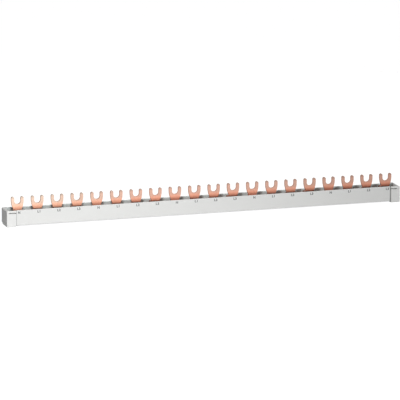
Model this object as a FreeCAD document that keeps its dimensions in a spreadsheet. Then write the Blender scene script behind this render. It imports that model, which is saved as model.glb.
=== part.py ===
import FreeCAD, Part
import math
import os
import Sketcher

# Four-pole comb busbar with fork terminals, cut to twenty 18 mm modules.
# A grey channel holds four copper combs side by side, each in a slot of its own.
# Every comb sends a fork up at every fourth module, and all forks stand in one plane.
# X runs along the bar, the printed front looks to -Y, Z is up, and the caps stand on Z = 0.
# All sizes are millimetres.

SIZES = {
    # Rhythm of the bar: one fork for each device module.
    "module_pitch": 18.0,
    "forks_per_comb": 5,
    # Copper sheet and the strip that carries the current.
    "copper_thickness": 2.0,
    "strip_height": 8.0,
    "strip_setback": 2.4,
    "comb_clearance": 0.25,
    # Neck, jogged over the partitions into the fork plane.
    "neck_width": 7.6,
    "neck_rise": 0.5,
    "jog_flat": 0.1,
    # Fork head, heights taken from the channel's rim.
    "fork_width": 11.2,
    "fork_height": 11.1,
    "shoulder_height": 7.8,
    "screw_slot_width": 5.8,
    "screw_slot_floor": 4.5,
    "neck_straight": 0.2,
    # Extruded channel.
    "wall_thickness": 1.2,
    "partition_thickness": 1.2,
    "floor_thickness": 1.3,
    "partition_rise": 0.4,
    "rim_rise": 0.2,
    "rim_round": 0.4,
    "foot_round": 0.5,
    "heel_height": 1.1,
    "heel_depth": 3.5,
    # Moulded end caps.
    "cap_plate": 2.4,
    "cap_skirt": 1.3,
    "cap_floor": 0.9,
    "cap_overlap": 5.9,
    "cap_clearance": 0.15,
    "cap_corner_round": 0.6,
    "cap_edge_round": 0.7,
    "latch_drop": 1.65,
    "latch_gap": 0.8,
    "latch_overrun": 1.0,
    "latch_round": 0.8,
    "finger_clearance": 0.2,
}

# Order of the phases from slot to slot and from fork to fork, starting front left.
POLES = ("n", "l1", "l2", "l3")
FORK_SLOT = POLES.index("l1")

# Heights, widths and places that follow from the sizes above.
LEVELS = {
    "slot_width": "Sizes.copper_thickness + 2 * Sizes.comb_clearance",
    "slot_pitch": "Levels.slot_width + Sizes.partition_thickness",
    "channel_depth": f"{len(POLES)} * Levels.slot_pitch - Sizes.partition_thickness"
                     " + 2 * Sizes.wall_thickness",
    "channel_length": f"{len(POLES)} * Sizes.forks_per_comb * Sizes.module_pitch",
    "first_fork": "(Sizes.module_pitch - Levels.channel_length) / 2",
    "fork_plane": f"({FORK_SLOT} - {(len(POLES) - 1) / 2}) * Levels.slot_pitch",
    "channel_floor": "Sizes.cap_floor + Sizes.floor_thickness",
    "strip_top": "Levels.channel_floor + Sizes.strip_height",
    "partition_top": "Levels.strip_top + Sizes.partition_rise",
    "bend_start": "Levels.strip_top + Sizes.neck_rise",
    "bend_radius": "(Levels.slot_pitch - Sizes.jog_flat) / 2",
    "jog_level": "Levels.bend_start + Levels.bend_radius",
    "bend_end": "Levels.jog_level + Levels.bend_radius",
    "rim": "Levels.bend_end + Sizes.rim_rise",
    "prong_width": "(Sizes.fork_width - Sizes.screw_slot_width) / 2",
    "fork_top": "Levels.rim + Sizes.fork_height",
    "cap_depth": "Levels.channel_depth + 2 * Sizes.cap_clearance + 2 * Sizes.cap_skirt",
    "heel_slope": "Sizes.heel_height / Sizes.heel_depth",
}

doc = FreeCAD.newDocument("CombBusbar")


def fill_sheet():
    """Driving dimensions, one row each, and the levels worked out from them."""
    sheet = doc.addObject("Spreadsheet::Sheet", "Sizes")
    for row, (alias, value) in enumerate(SIZES.items(), start=1):
        sheet.set(f"A{row}", alias)
        sheet.set(f"B{row}", str(value))
        sheet.setAlias(f"B{row}", alias)
    doc.recompute()
    levels = doc.addObject("App::VarSet", "Levels")
    for name, formula in LEVELS.items():
        levels.addProperty("App::PropertyFloat", name)
        levels.setExpression(name, formula)
        doc.recompute()
    return sheet, levels


def new_body(label):
    """An empty body whose label names its node."""
    body = doc.addObject("PartDesign::Body", label)
    body.Label = label
    return body


def new_sketch(body, name, role, along="0", up="0", out="0"):
    """A sketch on one of the body's origin planes, shifted by three formulas."""
    sketch = body.newObject("Sketcher::SketchObject", name)
    plane = next(item for item in body.Origin.OriginFeatures if item.Role == role)
    sketch.AttachmentSupport = [(plane, "")]
    sketch.MapMode = "FlatFace"
    for axis, formula in zip("xyz", (along, up, out)):
        sketch.setExpression(f"AttachmentOffset.Base.{axis}", formula)
    doc.recompute()
    return sketch


def tangent_arc(start, end, leaving):
    """The arc from start to end that leaves start in the given direction."""
    normal = FreeCAD.Vector(-leaving.y, leaving.x, 0)
    chord = end - start
    reach = chord.dot(chord) / (2 * normal.dot(chord))
    centre = start + normal * reach
    turns_left = reach > 0
    first, last = (start, end) if turns_left else (end, start)
    angles = [math.atan2(point.y - centre.y, point.x - centre.x) for point in (first, last)]
    if angles[1] <= angles[0]:
        angles[1] += 2 * math.pi
    circle = Part.Circle(centre, FreeCAD.Vector(0, 0, 1), abs(reach))
    return Part.ArcOfCircle(circle, *angles), turns_left


def draw(sketch, corners, closed=True):
    """Lines and arcs through corners whose places are formulas.

    Each corner is (across, up, edge). The edge that leaves it is a "line",
    an "arc" that carries on from the edge before it, or an "arc_into" that
    runs smoothly into the edge after it.
    """
    count = len(corners)
    points = [FreeCAD.Vector(sketch.evalExpression(across), sketch.evalExpression(up), 0)
              for across, up, _ in corners]
    edges = count if closed else count - 1
    ends = []
    for index in range(edges):
        start = points[index]
        end = points[(index + 1) % count]
        kind = corners[index][2]
        if kind == "arc":
            leaving = (start - points[index - 1]).normalize()
            shape, forward = tangent_arc(start, end, leaving)
        elif kind == "arc_into":
            arriving = (end - points[(index + 2) % count]).normalize()
            shape, backward = tangent_arc(end, start, arriving)
            forward = not backward
        else:
            shape, forward = Part.LineSegment(start, end), True
        number = sketch.addGeometry(shape, False)
        ends.append((number, 1, 2) if forward else (number, 2, 1))
    for index in range(count):
        meets = closed or 0 < index < edges
        if meets:
            before, _, arrival = ends[index - 1]
            after, departure, _ = ends[index]
            smooth = corners[index][2] == "arc" or corners[index - 1][2] == "arc_into"
            kind = "Tangent" if smooth else "Coincident"
            sketch.addConstraint(Sketcher.Constraint(kind, before, arrival, after, departure))
        if index < edges:
            number, vertex, _ = ends[index]
        else:
            number, _, vertex = ends[-1]
        for kind, formula in (("DistanceX", corners[index][0]), ("DistanceY", corners[index][1])):
            value = sketch.evalExpression(formula)
            row = sketch.addConstraint(Sketcher.Constraint(kind, -1, 1, number, vertex, value))
            sketch.setExpression(f"Constraints[{row}]", formula)
    doc.recompute()


def pad(body, name, sketch, length, side="One side", backwards=False):
    """A sketch given thickness; both sides means half of it each way."""
    feature = body.newObject("PartDesign::Pad", name)
    feature.Profile = sketch
    feature.SideType = side
    feature.Reversed = backwards
    feature.setExpression("Length", length)
    doc.recompute()
    return feature


def slot_place(slot):
    """How far behind the bar's middle plane a slot lies."""
    return f"({slot} - {(len(POLES) - 1) / 2}) * Levels.slot_pitch"


def channel_section():
    """Outline of the extrusion, from the front foot round by the rear and the slots."""
    half = "Levels.channel_depth / 2"
    foot = "Sizes.cap_floor"
    inner = f"{half} - Sizes.wall_thickness"
    corners = [
        (f"-{half} + Sizes.foot_round", foot, "line"),
        (f"{half} - Sizes.heel_depth", foot, "line"),
        (half, f"{foot} + Sizes.heel_height", "line"),
        (half, "Levels.rim - Sizes.rim_round", "arc"),
        (f"{half} - Sizes.rim_round", "Levels.rim", "line"),
        (f"{inner} + Sizes.rim_round", "Levels.rim", "arc"),
        (inner, "Levels.rim - Sizes.rim_round", "line"),
        (inner, "Levels.channel_floor", "line"),
    ]
    # From rear to front, each partition is a web with a half-round top between two slots.
    for slot in range(len(POLES) - 1, 0, -1):
        rear = f"{slot_place(slot)} - Levels.slot_width / 2"
        front = f"{slot_place(slot - 1)} + Levels.slot_width / 2"
        shoulder = "Levels.partition_top - Sizes.partition_thickness / 2"
        corners += [
            (rear, "Levels.channel_floor", "line"),
            (rear, shoulder, "arc"),
            (front, shoulder, "line"),
            (front, "Levels.channel_floor", "line"),
        ]
    corners += [
        (f"-({inner})", "Levels.channel_floor", "line"),
        (f"-({inner})", "Levels.rim - Sizes.rim_round", "arc"),
        (f"-({inner}) - Sizes.rim_round", "Levels.rim", "line"),
        (f"-{half} + Sizes.rim_round", "Levels.rim", "arc"),
        (f"-{half}", "Levels.rim - Sizes.rim_round", "line"),
        (f"-{half}", f"{foot} + Sizes.foot_round", "arc"),
    ]
    return corners


def build_housing():
    """The extruded channel: two walls, three partitions and a floor with a slanted heel."""
    body = new_body("housing")
    section = new_sketch(body, "channel_section", "YZ_Plane")
    draw(section, channel_section())
    pad(body, "channel", section, "Levels.channel_length", side="Symmetric")
    return body


def fork_outline(foot):
    """Neck, flared shoulders and two round-ended prongs about the screw slot."""
    half_neck = "Sizes.neck_width / 2"
    half_fork = "Sizes.fork_width / 2"
    half_slot = "Sizes.screw_slot_width / 2"
    flare = "Levels.rim + Sizes.neck_straight"
    shoulder = "Levels.rim + Sizes.shoulder_height"
    prong_end = "Levels.fork_top - Levels.prong_width / 2"
    slot_turn = f"Levels.rim + Sizes.screw_slot_floor + {half_slot}"
    return [
        (f"-{half_neck}", foot, "line"),
        (half_neck, foot, "line"),
        (half_neck, flare, "arc_into"),
        (half_fork, shoulder, "line"),
        (half_fork, prong_end, "arc"),
        (half_slot, prong_end, "line"),
        (half_slot, slot_turn, "arc"),
        (f"-{half_slot}", slot_turn, "line"),
        (f"-{half_slot}", prong_end, "arc"),
        (f"-{half_fork}", prong_end, "line"),
        (f"-{half_fork}", shoulder, "arc"),
        (f"-{half_neck}", flare, "line"),
    ]


def jog_path(slot):
    """The neck's middle line seen from the end: up, over to the fork plane, up again."""
    start = slot_place(slot)
    way = "+" if FORK_SLOT > slot else "-"
    back = "-" if FORK_SLOT > slot else "+"
    return [
        (start, "Levels.strip_top", "line"),
        (start, "Levels.bend_start", "arc"),
        (f"{start} {way} Levels.bend_radius", "Levels.jog_level", "line"),
        (f"Levels.fork_plane {back} Levels.bend_radius", "Levels.jog_level", "arc"),
        ("Levels.fork_plane", "Levels.bend_end", "line"),
    ]


def build_comb(slot):
    """One stamped copper comb: its strip on the slot's floor and a fork every fourth module."""
    body = new_body(f"comb_{POLES[slot]}")
    place = slot_place(slot)
    fork_x = f"Levels.first_fork + {slot} * Sizes.module_pitch"
    half_strip = "(Levels.channel_length / 2 - Sizes.strip_setback)"
    strip = new_sketch(body, f"strip_{POLES[slot]}", "XZ_Plane", out=f"-({place})")
    draw(strip, [
        (f"-{half_strip}", "Levels.channel_floor", "line"),
        (half_strip, "Levels.channel_floor", "line"),
        (half_strip, "Levels.strip_top", "line"),
        (f"-{half_strip}", "Levels.strip_top", "line"),
    ])
    pad(body, f"bar_{POLES[slot]}", strip, "Sizes.copper_thickness", side="Symmetric")

    stamped = []
    foot = "Levels.strip_top"
    if slot != FORK_SLOT:
        foot = "Levels.bend_end"
        path = new_sketch(body, f"jog_{POLES[slot]}", "YZ_Plane", out=fork_x)
        draw(path, jog_path(slot), closed=False)
        root = new_sketch(body, f"root_{POLES[slot]}", "XY_Plane",
                          along=fork_x, up=place, out="Levels.strip_top")
        draw(root, [
            ("-Sizes.neck_width / 2", "-Sizes.copper_thickness / 2", "line"),
            ("Sizes.neck_width / 2", "-Sizes.copper_thickness / 2", "line"),
            ("Sizes.neck_width / 2", "Sizes.copper_thickness / 2", "line"),
            ("-Sizes.neck_width / 2", "Sizes.copper_thickness / 2", "line"),
        ])
        neck = body.newObject("PartDesign::AdditivePipe", f"neck_{POLES[slot]}")
        neck.Profile = root
        neck.Spine = (path, [])
        doc.recompute()
        stamped.append(neck)
    head = new_sketch(body, f"head_{POLES[slot]}", "XZ_Plane",
                      along=fork_x, out="-Levels.fork_plane")
    draw(head, fork_outline(foot))
    fork = pad(body, f"fork_{POLES[slot]}", head, "Sizes.copper_thickness", side="Symmetric")
    stamped.append(fork)

    row = body.newObject("PartDesign::LinearPattern", f"forks_{POLES[slot]}")
    row.Originals = stamped
    row.Direction = (strip, ["H_Axis"])
    row.Mode = "Spacing"
    row.setExpression("Offset", f"{len(POLES)} * Sizes.module_pitch")
    row.setExpression("Occurrences", "Sizes.forks_per_comb")
    body.Tip = row
    doc.recompute()
    return body


def cap_outside():
    """Outer outline of a cap, seen from the bar's end, with the same slanted heel."""
    half = "Levels.cap_depth / 2"
    knee = "Levels.channel_depth / 2 - Sizes.heel_depth"
    heel = f"({half} - ({knee})) * Levels.heel_slope"
    return [
        (f"-{half} + Sizes.cap_corner_round", "0", "line"),
        (knee, "0", "line"),
        (half, heel, "line"),
        (half, "Levels.rim - Sizes.cap_corner_round", "arc"),
        (f"{half} - Sizes.cap_corner_round", "Levels.rim", "line"),
    ], [
        (f"-{half} + Sizes.cap_corner_round", "Levels.rim", "arc"),
        (f"-{half}", "Levels.rim - Sizes.cap_corner_round", "line"),
        (f"-{half}", "Sizes.cap_corner_round", "arc"),
    ]


def cap_inside():
    """The pocket that the channel's end sits in, walked from the rear rim to the front rim."""
    half = "(Levels.channel_depth / 2 + Sizes.cap_clearance)"
    knee = "Levels.channel_depth / 2 - Sizes.heel_depth"
    heel = f"Sizes.cap_floor + ({half} - ({knee})) * Levels.heel_slope"
    return [
        (half, "Levels.rim", "line"),
        (half, heel, "line"),
        (knee, "Sizes.cap_floor", "line"),
        (f"-{half}", "Sizes.cap_floor", "line"),
        (f"-{half}", "Levels.rim", "line"),
    ]


def edges_where(feature, test):
    """Names of the feature's edges whose two ends both pass a test."""
    names = []
    for index, edge in enumerate(feature.Shape.Edges, start=1):
        if all(test(vertex.Point) for vertex in edge.Vertexes):
            names.append(f"Edge{index}")
    return names


def round_edges(body, name, feature, names, radius):
    """A fillet over named edges of the feature before it."""
    rounding = body.newObject("PartDesign::Fillet", name)
    rounding.Base = (feature, names)
    rounding.setExpression("Radius", radius)
    body.Tip = rounding
    doc.recompute()
    return rounding


def build_cap(label, side):
    """A moulded cap: end plate, skirt about the channel, two latch tongues, four fingers."""
    body = new_body(label)
    outward = side > 0
    channel_end = f"{side} * Levels.channel_length / 2"
    bottom_and_rear, front = cap_outside()

    plate = new_sketch(body, f"{label}_plate_outline", "YZ_Plane", out=channel_end)
    draw(plate, bottom_and_rear + front)
    pad(body, f"{label}_plate", plate, "Sizes.cap_plate", backwards=not outward)

    skirt = new_sketch(body, f"{label}_skirt_outline", "YZ_Plane", out=channel_end)
    draw(skirt, bottom_and_rear + cap_inside() + front)
    pad(body, f"{label}_skirt", skirt, "Sizes.cap_overlap", backwards=outward)

    fingers = new_sketch(body, f"{label}_finger_outlines", "YZ_Plane", out=channel_end)
    for slot in range(len(POLES)):
        left = f"{slot_place(slot)} - Levels.slot_width / 2 + Sizes.finger_clearance"
        right = f"{slot_place(slot)} + Levels.slot_width / 2 - Sizes.finger_clearance"
        low = "Levels.channel_floor + Sizes.finger_clearance"
        draw(fingers, [
            (left, low, "line"),
            (right, low, "line"),
            (right, "Levels.strip_top", "line"),
            (left, "Levels.strip_top", "line"),
        ])
    reach = "Sizes.strip_setback - Sizes.finger_clearance"
    feature = pad(body, f"{label}_fingers", fingers, reach, backwards=outward)

    # A slit through the skirt at front and rear frees the tongue below it.
    free_end = f"{side} * (Levels.channel_length / 2 - Sizes.cap_overlap)"
    slit_end = f"{side} * (Levels.channel_length / 2 + Sizes.latch_overrun)"
    wall = "Levels.channel_depth / 2 + Sizes.cap_clearance"
    solid_before = feature.Shape.Volume
    for face, facing in (("front", -1), ("rear", 1)):
        slit = new_sketch(body, f"{label}_{face}_slit", "XZ_Plane",
                          out=f"{-facing} * ({wall})")
        top = "Levels.rim - Sizes.latch_drop"
        draw(slit, [
            (free_end, f"{top} - Sizes.latch_gap", "line"),
            (slit_end, f"{top} - Sizes.latch_gap", "line"),
            (slit_end, top, "line"),
            (free_end, top, "line"),
        ])
        feature = body.newObject("PartDesign::Pocket", f"{label}_{face}_latch")
        feature.Profile = slit
        feature.Reversed = facing < 0
        feature.setExpression("Length", "Sizes.cap_skirt")
        doc.recompute()
    sizes = doc.getObject("Sizes")
    slit_area = sizes.get("latch_gap") * (sizes.get("cap_overlap") + sizes.get("latch_overrun"))
    expected = 2 * slit_area * sizes.get("cap_skirt")
    if abs(solid_before - feature.Shape.Volume - expected) > 1e-3:
        raise RuntimeError(f"{label}: the latch slits removed the wrong amount")

    levels = doc.getObject("Levels")
    tongue_x = feature.evalExpression(free_end)
    tongue_z = levels.rim - sizes.get("latch_drop") - sizes.get("latch_gap")
    corners = edges_where(feature, lambda point: abs(point.x - tongue_x) < 1e-6
                          and abs(point.z - tongue_z) < 1e-6)
    feature = round_edges(body, f"{label}_tongues", feature, corners, "Sizes.latch_round")
    outer_x = feature.evalExpression(f"{channel_end} + {side} * Sizes.cap_plate")
    rim = edges_where(feature, lambda point: abs(point.x - outer_x) < 1e-6)
    round_edges(body, f"{label}_edge", feature, rim, "Sizes.cap_edge_round")
    return body


def check(parts):
    """No feature has failed and every sub-part is one valid solid."""
    for item in doc.Objects:
        if "Invalid" in item.State or "Error" in item.State:
            raise RuntimeError(f"{item.Label} did not compute: {item.State}")
    for part in parts:
        if part.Shape.isNull() or not part.Shape.isValid() or len(part.Shape.Solids) != 1:
            raise RuntimeError(f"{part.Label} is not one valid solid")


def main():
    fill_sheet()
    parts = [build_housing()]
    parts += [build_comb(slot) for slot in range(len(POLES))]
    parts += [build_cap("end_cap_left", -1), build_cap("end_cap_right", 1)]
    doc.recompute()
    check(parts)
    os.makedirs("parts", exist_ok=True)
    for part in parts:
        part.Shape.exportStep(f"parts/{part.Label}.step")
        box = part.Shape.BoundBox
        print(f"{part.Label}: {part.Shape.Volume:.1f} mm3, X {box.XMin:.2f} to {box.XMax:.2f}, "
              f"Y {box.YMin:.2f} to {box.YMax:.2f}, Z {box.ZMin:.2f} to {box.ZMax:.2f}")


main()
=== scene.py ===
import math
import bmesh
import bpy
from mathutils import Matrix, Vector


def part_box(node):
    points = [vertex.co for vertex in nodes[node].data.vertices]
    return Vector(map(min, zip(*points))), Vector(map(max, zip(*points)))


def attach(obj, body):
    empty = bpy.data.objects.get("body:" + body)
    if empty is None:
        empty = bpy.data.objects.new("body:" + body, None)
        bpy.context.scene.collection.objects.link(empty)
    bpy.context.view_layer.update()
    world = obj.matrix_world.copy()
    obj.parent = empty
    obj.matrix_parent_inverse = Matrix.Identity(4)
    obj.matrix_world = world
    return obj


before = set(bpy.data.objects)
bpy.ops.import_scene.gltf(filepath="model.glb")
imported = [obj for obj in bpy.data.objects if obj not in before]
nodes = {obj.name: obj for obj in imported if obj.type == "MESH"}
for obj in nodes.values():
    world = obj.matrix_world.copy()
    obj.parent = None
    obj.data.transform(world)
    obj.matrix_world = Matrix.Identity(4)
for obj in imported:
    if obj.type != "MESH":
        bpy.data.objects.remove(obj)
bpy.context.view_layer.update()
MM = 0.001

# Insulating channel
# One rigid PVC extrusion, light grey with a satin skin. The die leaves fine lines along its whole
# length, and handling leaves the skin uneven in gloss. Its inside is painted lighter and cooler as
# painted light, its rim is painted paler as a painted highlight, and its face is painted darker where
# the caps' skirts end, as painted shade in that joint.


class Value:
    """A shader socket that takes part in Python arithmetic."""

    def __init__(self, surface, socket):
        self.surface = surface
        self.socket = socket

    def __add__(self, other):
        return self.surface.math("ADD", self, other)

    def __radd__(self, other):
        return self.surface.math("ADD", other, self)

    def __sub__(self, other):
        return self.surface.math("SUBTRACT", self, other)

    def __rsub__(self, other):
        return self.surface.math("SUBTRACT", other, self)

    def __mul__(self, other):
        return self.surface.math("MULTIPLY", self, other)

    def __rmul__(self, other):
        return self.surface.math("MULTIPLY", other, self)

    def __abs__(self):
        return self.surface.math("ABSOLUTE", self)

    def __lt__(self, other):
        return self.surface.math("LESS_THAN", self, other)


class Nodes:
    """A node tree with one shader, built node by node."""

    def __init__(self, owner, shader):
        owner.use_nodes = True
        self.tree = owner.node_tree
        self.shader = self.tree.nodes[shader]

    def node(self, kind, settings=None, inputs=None, output=0):
        """One node: its settings first, then values or links for its sockets."""
        made = self.tree.nodes.new(kind)
        for name, setting in (settings or {}).items():
            setattr(made, name, setting)
        for key, value in (inputs or {}).items():
            self.fill(made.inputs[key], value)
        return Value(self, made.outputs[output])

    def fill(self, socket, value):
        """Links a Value to a socket, or writes a constant into it."""
        if isinstance(value, Value):
            self.tree.links.new(value.socket, socket)
        else:
            socket.default_value = value

    def math(self, operation, first, second=0.0):
        return self.node("ShaderNodeMath", {"operation": operation}, {0: first, 1: second})

    def feed(self, **sources):
        """Fills the shader's sockets, whose names are written with underscores."""
        for name, value in sources.items():
            self.fill(self.shader.inputs[name.replace("_", " ")], value)


class Surface(Nodes):
    """A procedural material on Object coordinates."""

    def __init__(self, name, **constants):
        self.material = bpy.data.materials.new(name)
        super().__init__(self.material, "Principled BSDF")
        self.feed(**constants)
        self.place = self.node("ShaderNodeTexCoord", output="Object")
        self.facing = self.node("ShaderNodeTexCoord", output="Normal")

    def grain(self, size_mm, stretch=(1, 1, 1), detail=3.0):
        """Noise whose grain is about size_mm across, drawn out where stretch is above 1."""
        scale = tuple(1 / (size_mm * MM * factor) for factor in stretch)
        laid = self.node("ShaderNodeMapping", {}, {"Vector": self.place, "Scale": scale})
        return self.node("ShaderNodeTexNoise", {},
                         {"Vector": laid, "Scale": 1.0, "Detail": detail, "Roughness": 0.55})

    def band(self, value, low, high):
        """0 below low, 1 above high, with a soft step between."""
        return self.node("ShaderNodeMapRange", {"interpolation_type": "SMOOTHSTEP"},
                         {"Value": value, "From Min": low, "From Max": high})

    def axis(self, vector, name):
        return self.node("ShaderNodeSeparateXYZ", {}, {0: vector}, output=name)

    def blend(self, factor, first, second):
        return self.node("ShaderNodeMix", {"data_type": "RGBA"},
                         {0: factor, 6: first, 7: second}, output=2)

    def tint(self, colour, filter_colour):
        return self.node("ShaderNodeMix", {"data_type": "RGBA", "blend_type": "MULTIPLY"},
                         {0: 1.0, 6: colour, 7: filter_colour}, output=2)

    def relief(self, height, depth_mm):
        return self.node("ShaderNodeBump", {},
                         {"Height": height, "Distance": depth_mm * MM, "Strength": 1.0})

    def wear(self, piece):
        """Puts the material on a piece in place of what it had."""
        piece.data.materials.clear()
        piece.data.materials.append(self.material)


CHANNEL_GREY = (0.765, 0.768, 0.755, 1)
CHANNEL_SHADE = (0.725, 0.729, 0.718, 1)
# Painted highlight: a paler grey laid along the channel's rim and along the caps' outer edges and top.
HIGHLIGHT_GREY = (0.92, 0.922, 0.91, 1)
# Painted light: the channel's inside is painted lighter and cooler than its outside. This stands in for
# more light in the channel and takes out the copper's warm bounce.
PAINTED_LIGHT_INSIDE_GREY = (0.76, 0.83, 0.82, 1)
# Painted shade: a dark grey laid where the caps' skirts end, standing in for the shade in that joint.
JOINT_SHADE = (0.16, 0.165, 0.16, 1)
JOINT_SHADE_REACH = 1.25 * MM
HIGHLIGHT_REACH = 0.7 * MM
WALL = 1.2 * MM

channel_low, channel_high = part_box("housing")
skirt_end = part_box("end_cap_right")[0][0]
extruded = Surface("extruded_pvc", Specular_IOR_Level=0.3)
die_lines = extruded.grain(0.25, stretch=(400, 1, 1), detail=4.0)
drifts = extruded.grain(9, stretch=(4, 1, 1), detail=2.0)
handling = extruded.grain(2.5, detail=4.0)
outer_skin = extruded.blend(drifts * 0.6 + die_lines * 0.4, CHANNEL_SHADE, CHANNEL_GREY)
from_middle = abs(extruded.axis(extruded.place, "Y"))
# Painted light: the inner faces get the lighter, cooler grey, and the outer faces keep the extrusion's
# grey.
outside = extruded.band(from_middle, channel_high[1] - WALL, channel_high[1] - 0.6 * WALL)
plain_skin = extruded.blend(outside, PAINTED_LIGHT_INSIDE_GREY, outer_skin)
rim = channel_high[2]
# Painted highlight along the channel's rim, made uneven by the handling noise.
rim_highlight = extruded.band(extruded.axis(extruded.place, "Z"), rim - HIGHLIGHT_REACH, rim)
skin = extruded.blend(rim_highlight * (0.15 + 0.3 * handling), plain_skin, HIGHLIGHT_GREY)
along = abs(extruded.axis(extruded.place, "X"))
# Painted shade on the channel's outer face beside the skirts' ends.
shaded_joint = outside * extruded.band(along, skirt_end - JOINT_SHADE_REACH, skirt_end)
extruded.feed(
    Base_Color=extruded.blend(shaded_joint, skin, JOINT_SHADE),
    Roughness=0.50 + 0.12 * handling + 0.06 * die_lines - 0.08 * rim_highlight,
    Normal=extruded.relief(die_lines, 0.012),
)
extruded.wear(nodes["housing"])

# Phase marks
# N, L1, L2 and L3 repeat along the front under the forks. They are printed on the extrusion in
# dark grey ink, as thin as paint.

MARK_HEIGHT = 2.0 * MM
CAPITAL_TO_FONT_SIZE = 0.7
LETTER_SPACING = 1.15
MARK_DROP = 0.7 * MM
MARK_STROKE = 0.12 * MM
INK_STANDS_PROUD = 0.02 * MM
FORK_PITCH = 18 * MM
PHASES = ("N", "L1", "L2", "L3")
FORKS = 20

first_fork = channel_low[0] + FORK_PITCH / 2
marks = bmesh.new()
for fork in range(FORKS):
    text = bpy.data.curves.new("mark", "FONT")
    text.body = PHASES[fork % len(PHASES)]
    text.align_x = "CENTER"
    text.align_y = "TOP"
    text.size = MARK_HEIGHT / CAPITAL_TO_FONT_SIZE
    text.offset = MARK_STROKE
    text.space_character = LETTER_SPACING
    holder = bpy.data.objects.new("mark", text)
    flat = bpy.data.meshes.new_from_object(holder)
    spot = Vector((first_fork + fork * FORK_PITCH, channel_low[1] - INK_STANDS_PROUD,
                   channel_high[2] - MARK_DROP))
    flat.transform(Matrix.Translation(spot) @ Matrix.Rotation(math.radians(90), 4, "X"))
    marks.from_mesh(flat)
    bpy.data.objects.remove(holder)
    bpy.data.meshes.remove(flat)
mark_mesh = bpy.data.meshes.new("phase_marks")
marks.to_mesh(mark_mesh)
marks.free()
phase_marks = bpy.data.objects.new("phase_marks", mark_mesh)
bpy.context.collection.objects.link(phase_marks)

INK = (0.09, 0.10, 0.10, 1)
INK_THIN = (0.19, 0.20, 0.20, 1)

ink = Surface("mark_ink")
coverage = ink.grain(0.4)
ink.feed(
    Base_Color=ink.blend(coverage, INK, INK_THIN),
    Roughness=0.5 + 0.2 * coverage,
)
ink.wear(phase_marks)
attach(phase_marks, "root")

# Copper combs
# Four combs stamped from bare 2 mm copper strip. The rolled faces are satin, with faint lines along
# the bar, and the sheared edges are rougher. The prongs are painted paler as a painted highlight, their
# ends darker and greyer as painted shade, and the metal darker towards the channel as painted shade;
# it also stains in patches. Along the bar it is painted brightest mid-bar and redder to the right, as
# painted light.

# Painted highlight: the prongs are painted paler than the body.
COPPER_PRONG = (0.49, 0.34, 0.272, 1)
COPPER_BODY = (0.65, 0.345, 0.242, 1)
# Painted shade: the prongs' ends are painted darker and greyer.
COPPER_TIP = (0.36, 0.275, 0.228, 1)
# Painted shade: the copper is painted darker towards the channel's rim, and darkest below it.
COPPER_FOOT = (0.47, 0.213, 0.143, 1)
COPPER_SUNK = (0.26, 0.11, 0.07, 1)
COPPER_STAIN = (0.40, 0.205, 0.145, 1)
# Painted light along the bar: the copper is painted paler at the left, brightest mid-bar, and darker
# and redder to the right.
LEFT_TINT = (0.97, 1.03, 1.02, 1)
MIDDLE_TINT = (1.13, 1.0, 0.98, 1)
RIGHT_TINT = (0.975, 0.815, 0.785, 1)
MIDDLE_REACH = (30 * MM, 150 * MM)
PRONG_HEIGHTS = (17.5 * MM, 21.0 * MM)
PRONG_RAGGEDNESS = 2.0 * MM
TIP_HEIGHTS = (23.4 * MM, 25.1 * MM)
FOOT_HEIGHTS = (14.4 * MM, 18.0 * MM)
SUNK_HEIGHTS = (12.5 * MM, 14.8 * MM)

bar_low, bar_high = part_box("comb_n")
copper = Surface("stamped_copper", Metallic=0.92)
rolling = copper.grain(0.16, stretch=(60, 1, 1), detail=4.0)
shear = copper.grain(0.12, stretch=(1, 30, 1))
patches = copper.grain(3.2, detail=5.0)
specks = copper.grain(0.7)
across = abs(copper.axis(copper.facing, "Y"))
sheet_face = copper.band(across, 0.6, 0.85)
lines = copper.node("ShaderNodeMix", {"data_type": "FLOAT"},
                    {0: sheet_face, 2: shear, 3: rolling})
height = copper.axis(copper.place, "Z")
prong = copper.band(height + patches * PRONG_RAGGEDNESS, *PRONG_HEIGHTS)
tip = copper.band(height, *TIP_HEIGHTS)
foot = 1 - copper.band(height, *FOOT_HEIGHTS)
below_rim = 1 - copper.band(height, *SUNK_HEIGHTS)
stain = copper.band(patches, 0.48, 0.72)
# Painted highlight on the prongs, with a ragged lower edge.
highlit_prongs = copper.blend(prong, COPPER_BODY, COPPER_PRONG)
# Painted shade at the prongs' ends.
ended = copper.blend(tip, highlit_prongs, COPPER_TIP)
# Painted shade towards the channel's rim and below it.
footed = copper.blend(foot, ended, COPPER_FOOT)
sunk = copper.blend(below_rim, footed, COPPER_SUNK)
worn = stain * 0.25 + (1 - sheet_face) * 0.15 + specks * 0.12
stained = copper.blend(worn, sunk, COPPER_STAIN)
# Painted light along the bar.
lengthwise = copper.axis(copper.place, "X")
rightward = copper.band(lengthwise, bar_low[0], bar_high[0])
off_middle = copper.band(abs(lengthwise), *MIDDLE_REACH)
painted_light_along_bar = copper.blend(off_middle, MIDDLE_TINT, copper.blend(rightward, LEFT_TINT, RIGHT_TINT))
copper.feed(
    Base_Color=copper.tint(stained, painted_light_along_bar),
    Roughness=0.34 + 0.10 * patches + 0.10 * worn + 0.06 * lines + 0.20 * (1 - sheet_face),
    Normal=copper.relief(lines, 0.012),
)
for phase in ("n", "l1", "l2", "l3"):
    copper.wear(nodes["comb_" + phase])

# End caps
# Two mouldings in the channel's grey, pushed over its ends. Their skin has the fine even grain of
# a spark-eroded mould, a shade lighter than the extrusion. Their outer edges and top are painted paler
# as a painted highlight, and the skirts' end faces are painted darker as painted shade in the joint.

CAP_GREY = (0.80, 0.803, 0.79, 1)
CAP_SHADE = (0.745, 0.748, 0.737, 1)
SKIRT_FACE_DEPTHS = (0.05 * MM, 0.15 * MM)

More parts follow.
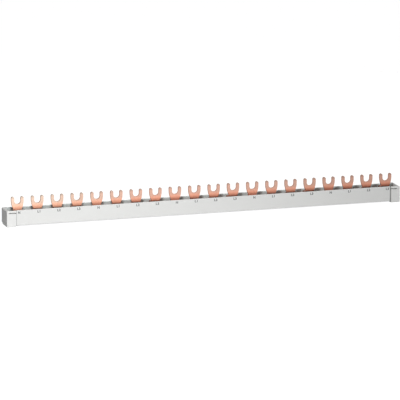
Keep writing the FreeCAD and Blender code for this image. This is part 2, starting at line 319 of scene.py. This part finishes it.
cap_low, cap_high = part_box("end_cap_right")
moulded = Surface("moulded_cap", Specular_IOR_Level=0.3)
mould_grain = moulded.grain(0.18, detail=2.0)
flow = moulded.grain(4, stretch=(1, 1, 2))
scuffs = moulded.grain(1.2, detail=4.0)
outward = abs(moulded.axis(moulded.place, "X"))
aside = abs(moulded.axis(moulded.place, "Y"))
# Painted highlight: the caps' outer edges and their top are painted paler, made uneven by the scuff
# noise.
at_end = moulded.band(outward, cap_high[0] - HIGHLIGHT_REACH, cap_high[0])
at_side = moulded.band(aside, cap_high[1] - HIGHLIGHT_REACH, cap_high[1])
at_top = moulded.band(moulded.axis(moulded.place, "Z"), cap_high[2] - HIGHLIGHT_REACH, cap_high[2])
edges = at_end * at_side + at_end * at_top + at_side * at_top + 0.5 * at_top
plain_cap = moulded.blend(flow, CAP_SHADE, CAP_GREY)
cap_skin = moulded.blend(edges * (0.3 + 0.7 * scuffs), plain_cap, HIGHLIGHT_GREY)
# Painted shade on the skirts' end faces, where they meet the channel.
endwise = moulded.band(abs(moulded.axis(moulded.facing, "X")), 0.5, 0.8)
beyond_face = moulded.band(outward, *(cap_low[0] + depth for depth in SKIRT_FACE_DEPTHS))
skirt_face = (1 - beyond_face) * endwise
moulded.feed(
    Base_Color=moulded.blend(skirt_face * 0.5, cap_skin, JOINT_SHADE),
    Roughness=0.52 + 0.12 * flow + 0.05 * mould_grain - 0.1 * edges,
    Normal=moulded.relief(mould_grain, 0.015),
)
moulded.wear(nodes["end_cap_left"])
moulded.wear(nodes["end_cap_right"])

# Floor and white surround
# A pale floor at the height the caps stand on. To the camera it is white, and it keeps a faint
# shadow; the sky is white wherever it is looked at or mirrored.

FLOOR_REACH = 4.0
FLOOR_COLOUR = (0.40, 0.40, 0.40, 1)
FLOOR_GLOW = 0.865
SKY_LIGHT = 0.20

ground = bmesh.new()
bmesh.ops.create_grid(ground, x_segments=1, y_segments=1, size=FLOOR_REACH)
floor_mesh = bpy.data.meshes.new("floor")
ground.to_mesh(floor_mesh)
ground.free()
floor = bpy.data.objects.new("floor", floor_mesh)
bpy.context.collection.objects.link(floor)


def looked_at(tree):
    """1 where the camera sees a thing, straight or mirrored, and 0 where it only lights others."""
    seen = tree.node("ShaderNodeLightPath", output="Is Camera Ray")
    mirrored = tree.node("ShaderNodeLightPath", output="Is Glossy Ray")
    scattered = tree.node("ShaderNodeLightPath", output="Diffuse Depth")
    return seen + mirrored * (scattered < 0.5)


paper = Surface("white_floor", Base_Color=FLOOR_COLOUR, Roughness=0.9, Emission_Strength=1.0)
paper.feed(Emission_Color=looked_at(paper) * FLOOR_GLOW)
paper.wear(floor)

world = bpy.data.worlds.new("white_surround")
bpy.context.scene.world = world
surround = Nodes(world, "Background")
surround.feed(
    Color=(1, 1, 1, 1),
    Strength=SKY_LIGHT + looked_at(surround) * (1 - SKY_LIGHT),
)

# Lamps
# Two soft round lamps at the front left: the high one throws the forks' shadows into the channel,
# and the front wall keeps the low one's light out of it. A third, low at the right rear, lights the
# sides that the camera doesn't see; no face mirrors it, or the rims at the right would glare.

LAMP_AIM = Vector((-0.05, 0, 0.01))
HIGH_SPOT = Vector((-0.25, -0.45, 0.40))
HIGH_SIZE = 0.09
HIGH_POWER = 1.88
LOW_SPOT = Vector((-0.175, -0.65, 0.035))
LOW_SIZE = 0.06
LOW_POWER = 1.84
REAR_SPOT = Vector((0.42, 0.62, 0.05))
REAR_SIZE = 0.09
REAR_POWER = 3.0


def hang_lamp(name, spot, size, power, mirrored=True):
    """A round lamp that looks at the bar and that the camera doesn't see."""
    glow = bpy.data.lights.new(name, "AREA")
    glow.shape = "DISK"
    glow.size = size
    glow.energy = power
    lamp = bpy.data.objects.new(name, glow)
    lamp.location = spot
    lamp.rotation_euler = (LAMP_AIM - spot).to_track_quat("-Z", "Y").to_euler()
    lamp.visible_camera = False
    lamp.visible_glossy = mirrored
    bpy.context.collection.objects.link(lamp)


hang_lamp("high_lamp", HIGH_SPOT, HIGH_SIZE, HIGH_POWER)
hang_lamp("low_lamp", LOW_SPOT, LOW_SIZE, LOW_POWER)
hang_lamp("rear_lamp", REAR_SPOT, REAR_SIZE, REAR_POWER, mirrored=False)

# Camera
# Far off with a long lens, to the left of the bar and a little above it, as the photograph has it.
# Its place and lens were fitted to the forks and to the channel's edges.

CAMERA_AZIMUTH = -17.61
CAMERA_ELEVATION = 11.74
CAMERA_DISTANCE = 3.356
CAMERA_LENS = 340.64
CAMERA_AIM = Vector((-0.00311, 0, 0.01157))
SENSOR_WIDTH = 36
FARTHEST_SEEN = 50

azimuth = math.radians(CAMERA_AZIMUTH)
elevation = math.radians(CAMERA_ELEVATION)
back = Vector((math.sin(azimuth) * math.cos(elevation),
               -math.cos(azimuth) * math.cos(elevation), math.sin(elevation)))
lens = bpy.data.cameras.new("camera")
lens.lens = CAMERA_LENS
lens.sensor_width = SENSOR_WIDTH
lens.clip_end = FARTHEST_SEEN
camera = bpy.data.objects.new("camera", lens)
camera.location = CAMERA_AIM + back * CAMERA_DISTANCE
camera.rotation_euler = (-back).to_track_quat("-Z", "Y").to_euler()
bpy.context.collection.objects.link(camera)
bpy.context.scene.camera = camera
bpy.context.scene.view_settings.view_transform = "Standard"
